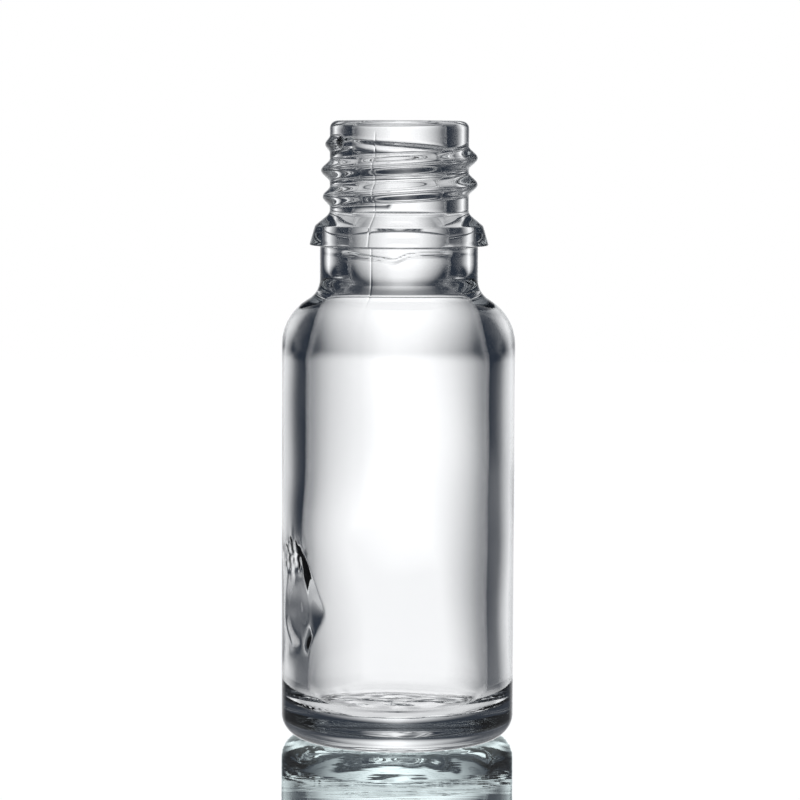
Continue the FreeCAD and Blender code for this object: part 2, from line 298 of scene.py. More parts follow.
def profile(place: Array, knots: Sequence[Knot], blur: float = 0.0) -> Array:
    """Values between the knots of a profile.

    Args:
        place: Where the values are asked for.
        knots: The profile's knots, in order.
        blur: How far to either side the values are averaged, so that no kink shows.

    Returns:
        The profile's value at each place.
    """
    places = [knot.place for knot in knots]
    values = [knot.value for knot in knots]
    if blur <= 0.0:
        return np.interp(place, places, values)
    shifts = np.linspace(-blur, blur, BLUR_STEPS)
    return sum(np.interp(place + shift, places, values) for shift in shifts) / len(shifts)


@dataclass
class Lump:
    """The lump of glass left on the inner wall, like a leaf that stands on its tip.

    Attributes:
        right: Azimuth of its right border at each height.
        left: Azimuth of its left border at each height.
        depth: How far it stands in at each height.
        blur: How far the kinks of these three are rounded off.
        roundness: How full its section is, 1 for a ridge and more for a cushion.
        crease: Share of the depth that the creases take up or add.
        crease_waves: Shortest and longest distance between creases.
        crease_stretch: How much the creases are drawn out upwards, below 1 for longer.
        patch: Azimuth and height of the rough patch above it.
        patch_half: Half the patch's width in degrees and half its height.
        patch_depth: How far the patch stands in.
        patch_rough: Share of that depth that its roughness takes up or adds.
        patch_waves: Shortest and longest distance between the patch's bumps.
    """

    right: Sequence[Knot] = (
        Knot(4.0, 213.0), Knot(9.5, 213.0), Knot(11.2, 214.0), Knot(12.2, 217.0),
        Knot(13.6, 222.5), Knot(15.0, 227.0), Knot(15.9, 226.5), Knot(17.6, 221.5),
        Knot(19.1, 218.0), Knot(20.8, 214.0), Knot(22.0, 207.0), Knot(22.8, 201.0))
    left: Sequence[Knot] = (
        Knot(4.0, 186.0), Knot(10.2, 187.0), Knot(11.0, 198.0), Knot(12.2, 190.0),
        Knot(13.6, 184.5), Knot(16.4, 185.5), Knot(19.1, 192.0), Knot(20.8, 195.0),
        Knot(22.0, 197.0), Knot(22.8, 199.0))
    depth: Sequence[Knot] = (
        Knot(8.5, 0.0), Knot(10.2, 0.1), Knot(11.4, 0.3), Knot(12.6, 0.38),
        Knot(14.4, 0.42), Knot(16.4, 0.42), Knot(18.6, 0.36), Knot(20.4, 0.26),
        Knot(21.8, 0.2), Knot(22.8, 0.0))
    blur: float = 0.5
    roundness: float = 1.6
    crease: float = 0.06
    crease_waves: Pair = (2.0, 4.0)
    crease_stretch: float = 0.4
    patch: Pair = (197.0, 21.0)
    patch_half: Pair = (13.0, 2.2)
    patch_depth: float = 0.22
    patch_rough: float = 0.8
    patch_waves: Pair = (0.8, 1.6)

    def stand_in(self, azimuth: Array, z: Array, radius: float) -> Array:
        """How far the lump stands in from the wall at each point.

        Args:
            azimuth: Azimuths, in degrees.
            z: Heights, in millimetres.
            radius: Radius of the wall that it sits on.

        Returns:
            The lump's depth, in millimetres.
        """
        right, left = profile(z, self.right, self.blur), profile(z, self.left, self.blur)
        across = 2.0 * (azimuth - left) / np.maximum(right - left, 1.0) - 1.0
        body = 1.0 - np.clip(np.abs(across), 0.0, 1.0) ** self.roundness
        along = np.radians(azimuth) * radius
        creases = waves(along, z * self.crease_stretch, *self.crease_waves, seed=5)
        lump = profile(z, self.depth, self.blur) * body * (1.0 + self.crease * creases)
        patch = bell(azimuth - self.patch[0], 0.5 * self.patch_half[0]) \
            * bell(z - self.patch[1], 0.5 * self.patch_half[1])
        bumps = waves(along, z, *self.patch_waves, seed=9)
        return lump + self.patch_depth * patch * (1.0 + self.patch_rough * bumps)


@dataclass
class Flow:
    """The fold that runs round the front of the bore below the bead, and two finer lines.

    Attributes:
        path: Height of the fold at each azimuth.
        blur: How far the path's kinks are rounded off, in degrees.
        first: Azimuth at which it starts.
        last: Azimuth at which it ends.
        fade: Length over which it comes up at both ends, in degrees.
        behind: Share of its depth that goes on round the back.
        depth: How far it stands in.
        width: Its width.
        second_below: How far below the fold the second line lies.
        second_depth: How far the second line stands in.
        root_z: Height of the third line, at the neck's root.
        root_depth: How far the third line stands in.
        root_width: Its width.
    """

    path: Sequence[Knot] = (
        Knot(200.0, 55.8), Knot(215.0, 55.7), Knot(244.0, 55.38), Knot(266.0, 55.02),
        Knot(279.0, 55.7), Knot(293.0, 55.84), Knot(314.0, 55.82), Knot(335.0, 55.9))
    blur: float = 3.0
    first: float = 203.0
    last: float = 330.0
    fade: float = 14.0
    behind: float = 0.12
    depth: float = 0.34
    width: float = 0.13
    second_below: float = 1.0
    second_depth: float = 0.04
    root_z: float = 51.3
    root_depth: float = 0.12
    root_width: float = 0.182

    def stand_in(self, azimuth: Array, z: Array) -> Array:
        """How far the fold stands into the bore at each point.

        Args:
            azimuth: Azimuths, in degrees.
            z: Heights, in millimetres.

        Returns:
            The fold's depth, with the finer lines', in millimetres.
        """
        shown = plateau((self.first, self.first + self.fade, self.last - self.fade, self.last),
                        azimuth)
        fold = self.depth * bell(z - profile(azimuth, self.path, self.blur), self.width)
        level = np.mean([knot.value for knot in self.path]) - self.second_below
        second = self.second_depth * bell(z - level, self.width)
        root = self.root_depth * bell(z - self.root_z, self.root_width)
        return (fold + second + root) * (self.behind + (1.0 - self.behind) * shown)


@dataclass
class Wall:
    """How the inside departs from a true circle, in millimetres.

    Attributes:
        room: Extra room on each side, at each height.
        room_blur: How far the kinks of the room are rounded off.
        room_spread: How closely the room keeps to the two sides.
        ripple: Height of the long waves all over the wall.
        ripples: For each wave: how many round the wall, turn for each millimetre, share, start.
        ripple_zone: Heights where the waves come up and end.
        lump: The lump of glass on it.
        flow: The fold in the bore.
    """

    room: dict[Side, Sequence[Knot]] = field(default_factory=lambda: {
        Side.LEFT: (Knot(2.0, -0.35), Knot(9.0, -0.35), Knot(13.0, -0.2), Knot(20.0, 0.0),
                    Knot(25.0, 0.15), Knot(30.0, -0.15), Knot(35.0, -0.3), Knot(41.0, -0.2),
                    Knot(46.0, -0.2)),
        Side.RIGHT: (Knot(2.0, -0.3), Knot(9.0, -0.35), Knot(14.0, -0.42), Knot(20.0, -0.45),
                     Knot(26.0, -0.45), Knot(33.0, -0.24), Knot(40.0, -0.34), Knot(46.0, -0.45))})
    room_blur: float = 1.8
    room_spread: float = 1.5
    ripple: float = 0.022
    ripples: Sequence[Four] = (
        (3.0, 0.31, 1.0, 0.0), (5.0, -0.23, 0.6, 1.0), (2.0, 0.52, 0.5, 2.0))
    ripple_zone: Four = (3.0, 9.0, 46.0, 51.0)
    lump: Lump = field(default_factory=Lump)
    flow: Flow = field(default_factory=Flow)

    def change(self, azimuth: Array, z: Array, radius: float) -> Array:
        """How much farther out the inside of the body lies at each point.

        Args:
            azimuth: Azimuths, in degrees.
            z: Heights, in millimetres.
            radius: Radius of the inside of the body.

        Returns:
            The change of radius at each point.
        """
        across = np.cos(np.radians(azimuth))
        total = np.zeros(np.broadcast(azimuth, z).shape)
        for side, knots in self.room.items():
            towards = np.clip(across * side.value, 0.0, 1.0) ** self.room_spread
            total = total + towards * profile(z, knots, self.room_blur)
        wave = sum(share * np.sin(np.radians(count * azimuth) + lean * z + start)
                   for count, lean, share, start in self.ripples)
        ripple = self.ripple * wave * plateau(self.ripple_zone, z)
        return total + ripple - self.lump.stand_in(azimuth, z, radius)


@dataclass
class GlassBottle:
    """The bottle: one moulding of clear glass, in millimetres.

    Attributes:
        overall_height: Height of the lip.
        body_radius: Outside of the body.
        heel_radius: Rounding between its side and the standing ring.
        punt_radius: Radius of the hollow under the base.
        punt_rise: Its depth.
        neck_height: From the shoulder's start up to the lip.
        shoulder_radius: Rounding of the shoulder.
        neck_radius: Outside of the neck below the bead.
        neck_root_radius: Rounding between shoulder and neck.
        finish_height: From the bead's underside up to the lip.
        bead_overhang: How far the bead stands out.
        bead_face_height: Height of its face.
        bead_face_lean: How far the face leans in.
        bead_slope_height: Height of the slope above the face.
        bead_rounds: Roundings from under the bead up to the slope's root.
        lip_round: Rounding of the lip's outer edge.
        mouth_round: Rounding of its inner edge.
        mouth_radius: Radius of the bore that takes a plug.
        mouth_depth: Its depth.
        mouth_split: Depth where the outside's rows end and the inside's begin.
        mouth_taper_depth: Length of the taper below it.
        mouth_taper_round: Rounding of the taper's two ends.
        neck_bore_radius: Radius of the neck's bore.
        neck_edge_round: Rounding of its lower edge.
        inner_slope: Slope of the inner shoulder, in degrees.
        inner_shoulder_drop: How far below the outer shoulder it starts.
        inner_shoulder_radius: Rounding between it and the inner wall.
        wall: Thickness of the body's wall.
        floor_height: Height of the inside's floor.
        floor_corner: Rounding between floor and wall.
        floor_dome_rise: How much higher the floor's middle is.
        floor_fade: Heights over it where its rings fade, where they end, and where the
            wall's unevenness is full.
        seam_azimuth: Azimuth of the mould's parting line in front.
        seam_height: How far it stands out.
        seam_half_angle: Half its width, in degrees.
        seam_zone: Heights where it comes up and ends.
        seam_columns: Its columns in the mesh, in half widths.
        thread_zone: Heights where the thread comes up out of the bead's slope.
        thread_end: Height over which it is cut off below the lip.
        wall_zone: Heights where the wall's unevenness ends.
        neck_zone: Heights where the lines in the bore begin.
        floor_rings: Height, closeness, waviness and number of lobes of the floor's rings.
        floor_ripple: Height of the ripples between them.
        floor_waves: Shortest and longest of those ripples.
        floor_middle: Radii between which rings and ripples come up.
        floor_edge: How far from the wall they end.
        base_ripple: Height of the ripples under the base.
        base_waves: Shortest and longest of them.
        punt_middle: Radii between which they come up.
        punt_edge: Width of the border in which they end.
        ring_stipple: Height of the dimples on the standing ring.
        ring_waves: Shortest and longest distance between them.
        ring_width: How wide they spread from the ring's middle.
        base_zone: Heights where the ripples and dimples end.
        lump_rows: Heights between which the rows are close, for the lump.
        dome_counts: Number of rows under the base, and on the floor.
        columns: Number of columns round the mesh.
        fine_zone: Azimuths between which they are twice as close.
        column_gap: Least gap between a seam's columns and the even ones.
        finish: The threaded finish.
        inside: The inner wall.
    """

    overall_height: float
    body_radius: float
    heel_radius: float = 2.6
    punt_radius: float = 9.4
    punt_rise: float = 1.1
    neck_height: float = 25.5
    shoulder_radius: float = 5.9
    neck_radius: float = 9.05
    neck_root_radius: float = 2.6
    finish_height: float = 14.2
    bead_overhang: float = 1.23
    bead_face_height: float = 2.25
    bead_face_lean: float = 0.66
    bead_slope_height: float = 1.4
    bead_rounds: Four = (0.25, 0.12, 0.3, 0.9)
    lip_round: float = 0.9
    mouth_round: float = 0.5
    mouth_radius: float = 5.45
    mouth_depth: float = 10.4
    mouth_split: float = 1.0
    mouth_taper_depth: float = 3.0
    mouth_taper_round: float = 2.0
    neck_bore_radius: float = 5.9
    neck_edge_round: float = 3.6
    inner_slope: float = 54.0
    inner_shoulder_drop: float = 1.8
    inner_shoulder_radius: float = 8.0
    wall: float = 2.35
    floor_height: float = 3.7
    floor_corner: float = 2.6
    floor_dome_rise: float = 0.6
    floor_fade: Triple = (0.8, 2.5, 2.0)
    seam_azimuth: float = 250.0
    seam_height: float = 0.025
    seam_half_angle: float = 0.45
    seam_zone: Four = (49.0, 52.0, 69.0, 69.6)
    seam_columns: Sequence[float] = (-2.6, -1.8, -1.1, -0.5, 0.0, 0.5, 1.1, 1.8, 2.6)
    thread_zone: Pair = (57.0, 59.5)
    thread_end: float = 0.5
    wall_zone: Pair = (46.5, 51.5)
    neck_zone: Pair = (49.5, 50.5)
    floor_rings: Four = (0.05, 2.3, 0.5, 3.0)
    floor_ripple: float = 0.025
    floor_waves: Pair = (1.8, 5.0)
    floor_middle: Pair = (0.5, 2.0)
    floor_edge: float = 0.3
    base_ripple: float = 0.1
    base_waves: Pair = (2.4, 6.0)
    punt_middle: Pair = (0.4, 1.6)
    punt_edge: float = 0.8
    ring_stipple: float = 0.045
    ring_waves: Pair = (0.8, 1.6)
    ring_width: float = 0.9
    base_zone: Pair = (1.2, 2.2)
    lump_rows: Pair = (11.0, 24.0)
    dome_counts: tuple[int, int] = (40, 24)
    columns: int = 200
    fine_zone: Pair = (180.0, 232.0)
    column_gap: float = 0.2
    finish: Finish = field(default_factory=Finish)
    inside: Wall = field(default_factory=Wall)

    @property
    def inner_radius(self) -> float:
        """Radius of the inside of the body."""
        return self.body_radius - self.wall

    @property
    def shoulder_start(self) -> float:
        """Height at which the body starts to curve in."""
        return self.overall_height - self.neck_height

    def outer_rows(self) -> Array:
        """Rows of the outside.

        Returns:
            An array of (r, z) points, from the punt's middle up to below the mouth's edge.
        """
        top = self.overall_height
        across = self.neck_radius + self.neck_root_radius - self.body_radius + self.shoulder_radius
        turn = math.acos(across / (self.shoulder_radius + self.neck_root_radius))
        rise = (self.shoulder_radius + self.neck_root_radius) * math.sin(turn)
        lean = math.tan(turn / 2.0)
        shoulder_tip = self.shoulder_start + self.shoulder_radius * lean
        root_tip = self.shoulder_start + rise - self.neck_root_radius * lean
        under = top - self.finish_height
        face_top = under + self.bead_face_height
        edge = self.neck_radius + self.bead_overhang
        below, tip, crown, root = self.bead_rounds
        outline = Outline((
            Corner(self.punt_radius, 0.0),
            Corner(self.body_radius, 0.0, self.heel_radius, 0.2),
            Corner(self.body_radius, shoulder_tip, self.shoulder_radius, 3.0),
            Corner(self.neck_radius, root_tip, self.neck_root_radius),
            Corner(self.neck_radius, under, below, 0.5),
            Corner(edge, under, tip, 0.3),
            Corner(edge - self.bead_face_lean, face_top, crown, 0.3),
            Corner(self.finish.radius, face_top + self.bead_slope_height, root, 0.2),
            Corner(self.finish.radius, top, self.lip_round, self.finish.row_step),
            Corner(self.mouth_radius, top, self.mouth_round, 0.2),
            Corner(self.mouth_radius, top - self.mouth_split, 0.0, 0.5),
        ))
        punt = dome_rows(self.punt_radius, 0.0, self.punt_rise, self.dome_counts[0])
        return np.concatenate((punt, outline.rows()[1:]))

    def inner_rows(self) -> Array:
        """Rows of the inside.

        Returns:
            An array of (r, z) points, from below the mouth's edge down to the floor's middle.
        """
        top = self.overall_height
        slope = math.radians(self.inner_slope)
        corner = self.inner_shoulder_radius
        touch_r = self.inner_radius - corner * (1.0 - math.sin(slope))
        touch_z = self.shoulder_start - self.inner_shoulder_drop + corner * math.cos(slope)
        bore_z = touch_z + (touch_r - self.neck_bore_radius) * math.tan(slope)
        cone_z = touch_z - (self.inner_radius - touch_r) * math.tan(slope)
        mouth_end = top - self.mouth_depth
        taper_end = mouth_end - self.mouth_taper_depth
        outline = Outline((
            Corner(self.mouth_radius, top - self.mouth_split),
            Corner(self.mouth_radius, mouth_end, self.mouth_taper_round, 0.8),
            Corner(self.neck_bore_radius, taper_end, self.mouth_taper_round, 0.5),
            Corner(self.neck_bore_radius, bore_z, self.neck_edge_round, 0.2),
            Corner(self.inner_radius, cone_z, corner, 0.5),
            Corner(self.inner_radius, self.lump_rows[1], 0.0, 1.2),
            Corner(self.inner_radius, self.lump_rows[0], 0.0, 0.35),
            Corner(self.inner_radius, self.floor_height, self.floor_corner, 0.6),
            Corner(self.inner_radius - self.floor_corner, self.floor_height),
        ))
        floor = dome_rows(self.inner_radius - self.floor_corner, self.floor_height,
                          self.floor_dome_rise, self.dome_counts[1])
        return np.concatenate((outline.rows()[1:], floor[::-1][1:]))

    def azimuths(self) -> Array:
        """Azimuths of the columns.

        Returns:
            The azimuths in order, in degrees, closer where the mould parts and in the fine zone.
        """
        spread = self.seam_half_angle * np.array(self.seam_columns)
        even = np.arange(self.columns) * 360.0 / self.columns
        between = even + 180.0 / self.columns
        inside = (between > self.fine_zone[0]) & (between < self.fine_zone[1])
        even = np.concatenate((even, between[inside]))
        seams = (self.seam_azimuth, self.seam_azimuth - 180.0)
        near = np.min([np.abs(turn_between(even, seam)) for seam in seams], axis=0)
        kept = even[near > spread.max() + self.column_gap]
        return np.sort(np.concatenate([kept] + [seam + spread for seam in seams]))

    def outer_change(self, azimuth: Array, rows: Array) -> Array:
        """What the thread and the seam add to the outside's radius.

        Args:
            azimuth: Azimuths, in degrees.
            rows: The outside's rows, as (r, z).

        Returns:
            The change of radius at each point.
        """
        r, z = rows[:, :1], rows[:, 1:]
        above = smooth_step(*self.thread_zone, z)
        room = np.clip(1.0 - (r - self.finish.radius) / self.finish.crest, 0.0, 1.0)
        under_lip = 1.0 - smooth_step(-self.thread_end, 0.0, z - self.overall_height)
        thread = self.finish.ridge(azimuth, z, self.overall_height) * room * above * under_lip
        seam = bell(turn_between(azimuth, self.seam_azimuth), self.seam_half_angle)
        return thread + self.seam_height * seam * plateau(self.seam_zone, z)

    def inner_change(self, azimuth: Array, rows: Array) -> Array:
        """What the wall's unevenness and the bore's lines add to the inside's radius.

        Args:
            azimuth: Azimuths, in degrees.
            rows: The inside's rows, as (r, z).

        Returns:
            The change of radius at each point.
        """
        r, z = rows[:, :1], rows[:, 1:]
        share = np.clip(r / self.inner_radius, 0.0, 1.0)
        wall = self.inside.change(azimuth, z, self.inner_radius)
        floor = smooth_step(self.floor_height, self.floor_height + self.floor_fade[2], z)
        body = 1.0 - smooth_step(*self.wall_zone, z)
        in_neck = smooth_step(*self.neck_zone, z)
        return wall * share * floor * body - self.inside.flow.stand_in(azimuth, z) * in_neck

    def floor_change(self, azimuth: Array, rows: Array) -> Array:
        """Height of the rings and ripples on the floor of the inside.

        Args:
            azimuth: Azimuths, in degrees.
            rows: The inside's rows, as (r, z).

        Returns:
            The change of height at each point.
        """
        r = rows[:, :1]
        turn = np.radians(azimuth)
        on_floor = 1.0 - smooth_step(self.inner_radius - self.floor_corner,
                                     self.inner_radius - self.floor_edge, r)
        low = 1.0 - smooth_step(self.floor_height + self.floor_fade[0],
                                self.floor_height + self.floor_fade[1], rows[:, 1:])
        height, closeness, waviness, lobes = self.floor_rings
        rings = height * np.sin(r * closeness + waviness * np.sin(lobes * turn))
        x, y = r * np.cos(turn), r * np.sin(turn)
        uneven = self.floor_ripple * waves(x, y, *self.floor_waves, seed=11)
        return (rings + uneven) * on_floor * low * smooth_step(*self.floor_middle, r)

    def base_change(self, azimuth: Array, rows: Array) -> Array:
        """Height of the ripples and dimples under the bottle.

        Args:
            azimuth: Azimuths, in degrees.
            rows: The outside's rows, as (r, z).

        Returns:
            The change of height at each point.
        """
        r, z = rows[:, :1], rows[:, 1:]
        turn = np.radians(azimuth)
        x, y = r * np.cos(turn), r * np.sin(turn)
        edge = self.body_radius - self.heel_radius
        on_punt = plateau((*self.punt_middle, self.punt_radius - self.punt_edge,
                           self.punt_radius), r)
        on_ring = bell(r - 0.5 * (self.punt_radius + edge), self.ring_width)
        ripple = self.base_ripple * waves(x, y, *self.base_waves, seed=3)
        dimples = np.clip(waves(x, y, *self.ring_waves, seed=7), -1.0, 1.0)
        stipple = self.ring_stipple * (1.0 + dimples)
        return (ripple * on_punt + stipple * on_ring) * (1.0 - smooth_step(*self.base_zone, z))

    def build(self) -> bpy.types.Object:
        """Makes the glass as one closed mesh, with nothing below the ground.

        Returns:
            The new object, in metres, in the row's frame.
        """
        azimuth = self.azimuths()[None, :]
        outer, inner = self.outer_rows(), self.inner_rows()
        radius = np.concatenate((outer[:, :1] + self.outer_change(azimuth, outer),
                                 inner[:, :1] + self.inner_change(azimuth, inner)))
        height = np.concatenate((outer[:, 1:] + self.base_change(azimuth, outer),
                                 inner[:, 1:] + self.floor_change(azimuth, inner)))
        height = np.maximum(height, 0.0)
        turn = np.radians(azimuth)
        grid = np.stack((radius * np.cos(turn), radius * np.sin(turn), height), axis=-1)
        rows, columns = radius.shape
        points = grid.reshape(-1, 3)
        punt_top = (0.0, 0.0, self.punt_rise)
        floor_top = (0.0, 0.0, self.floor_height + self.floor_dome_rise)
        points = np.concatenate((points, (punt_top, floor_top))) * MM

        column = np.arange(columns)
        following = (column + 1) % columns
        faces: list[tuple[int, ...]] = []
        for row in range(rows - 1):
            low, high = row * columns, (row + 1) * columns
            faces.extend(zip(low + column, low + following, high + following, high + column))
        first, last = rows * columns, (rows - 1) * columns
        faces.extend((first, int(b), int(a)) for a, b in zip(column, following))
        faces.extend((first + 1, last + int(a), last + int(b)) for a, b in zip(column, following))

        mesh = bpy.data.meshes.new("bottle_glass")
        mesh.from_pydata(points.tolist(), [], [tuple(int(i) for i in f) for f in faces])
        mesh.validate()
        mesh.polygons.foreach_set("use_smooth", np.ones(len(mesh.polygons), bool))
        mesh.update()
        glass = add_object("bottle_glass", mesh)
        log.info("%s: %d rows of %d columns, %d faces", glass.name, rows, columns, len(faces))
        return glass


class Value:
    """A number in a shader: an output socket on which sums can be written."""

    def __init__(self, maker: "Shader", socket: bpy.types.NodeSocket) -> None:
        """Wraps a socket.

        Args:
            maker: The shader whose nodes are added.
            socket: The output socket.
        """
        self.maker = maker
        self.socket = socket

    def __add__(self, other: object) -> "Value":
        """self + other."""
        return self.maker.math("ADD", self, other)

    def __radd__(self, other: object) -> "Value":
        """other + self."""
        return self.maker.math("ADD", other, self)

    def __sub__(self, other: object) -> "Value":
        """self - other."""
        return self.maker.math("SUBTRACT", self, other)

    def __rsub__(self, other: object) -> "Value":
        """other - self."""
        return self.maker.math("SUBTRACT", other, self)

    def __mul__(self, other: object) -> "Value":
        """self * other."""
        return self.maker.math("MULTIPLY", self, other)

    def __rmul__(self, other: object) -> "Value":
        """other * self."""
        return self.maker.math("MULTIPLY", other, self)

    def __truediv__(self, other: object) -> "Value":
        """self / other."""
        return self.maker.math("DIVIDE", self, other)

    def clamped(self) -> "Value":
        """self, kept between 0 and 1."""
        return self.maker.math("MAXIMUM", self.maker.math("MINIMUM", self, 1.0), 0.0)


class Shader:
    """A material's or the world's nodes, added one call at a time."""

    def __init__(self, owner: bpy.types.Material | bpy.types.World) -> None:
        """Starts from an empty tree.

        Args:
            owner: The material or world whose nodes are made.
        """
        owner.use_nodes = True
        self.tree = owner.node_tree
        self.tree.nodes.clear()

    def node(self, kind: str, inputs: dict | None = None, **settings: object) -> bpy.types.Node:
        """Adds a node.

        Args:
            kind: The node's type.
            inputs: Values or links of its sockets. A node stands for its first output.
            settings: Properties, set before its sockets.

        Returns:
            The new node.
        """
        made = self.tree.nodes.new(kind)
        for name, setting in settings.items():
            setattr(made, name, setting)
        for name, value in (inputs or {}).items():
            if isinstance(value, bpy.types.Node):
                value = value.outputs[0]
            if isinstance(value, Value):
                value = value.socket
            if isinstance(value, bpy.types.NodeSocket):
                self.tree.links.new(value, made.inputs[name])
            else:
                made.inputs[name].default_value = value
        return made

    def math(self, operation: str, *values: object) -> Value:
        """The result of a Math node's operation on the given values."""
        made = self.node("ShaderNodeMath", dict(enumerate(values)), operation=operation)
        return Value(self, made.outputs[0])

    def profile(self, angle: Value, knots: Sequence[Knot]) -> Value:
        """The value between the knots of a profile over an angle from 0 to 180 degrees.

        Args:
            angle: The angle, in radians.
            knots: The profile's knots, in order, with places in degrees.

        Returns:
            The profile's value at the angle.
        """
        most = max(knot.value for knot in knots)
        ramp = self.node("ShaderNodeValToRGB", {"Fac": angle / math.pi})
        stops = ramp.color_ramp.elements
        while len(stops) < len(knots):
            stops.new(1.0)
        for stop, knot in zip(stops, knots):
            stop.position = knot.place / 180.0
            stop.color = (*(knot.value / most,) * 3, 1.0)
        return Value(self, ramp.outputs["Color"]) * most


@dataclass(frozen=True)
class ClearGlass:
    """Clear, colourless, fire-polished glass.

    Attributes:
        base_color: Colour of what passes its surface.
        roughness: Roughness of its surface.
        ior: How strongly it bends light.
        absorb_color: Colour that its thickness takes on.
        absorb_density: How fast it does, for each metre.
    """

    base_color: Triple = (1.0, 1.0, 1.0)
    roughness: float = 0.02
    ior: float = 1.51
    absorb_color: Triple = (0.80, 0.90, 0.93)
    absorb_density: float = 6.0

    def material(self) -> bpy.types.Material:
        """Makes the material.

        Returns:
            A glass with a faint tint through its thickness.
        """
        made = bpy.data.materials.new("clear_glass")
        shader = Shader(made)
        glass = shader.node("ShaderNodeBsdfPrincipled", {
            "Base Color": (*self.base_color, 1.0),
            "Roughness": self.roughness,
            "IOR": self.ior,
            "Transmission Weight": 1.0,
        })
        tint = shader.node("ShaderNodeVolumeAbsorption", {
            "Color": (*self.absorb_color, 1.0),
            "Density": self.absorb_density,
        })
        shader.node("ShaderNodeOutputMaterial", {"Surface": glass, "Volume": tint})
        return made


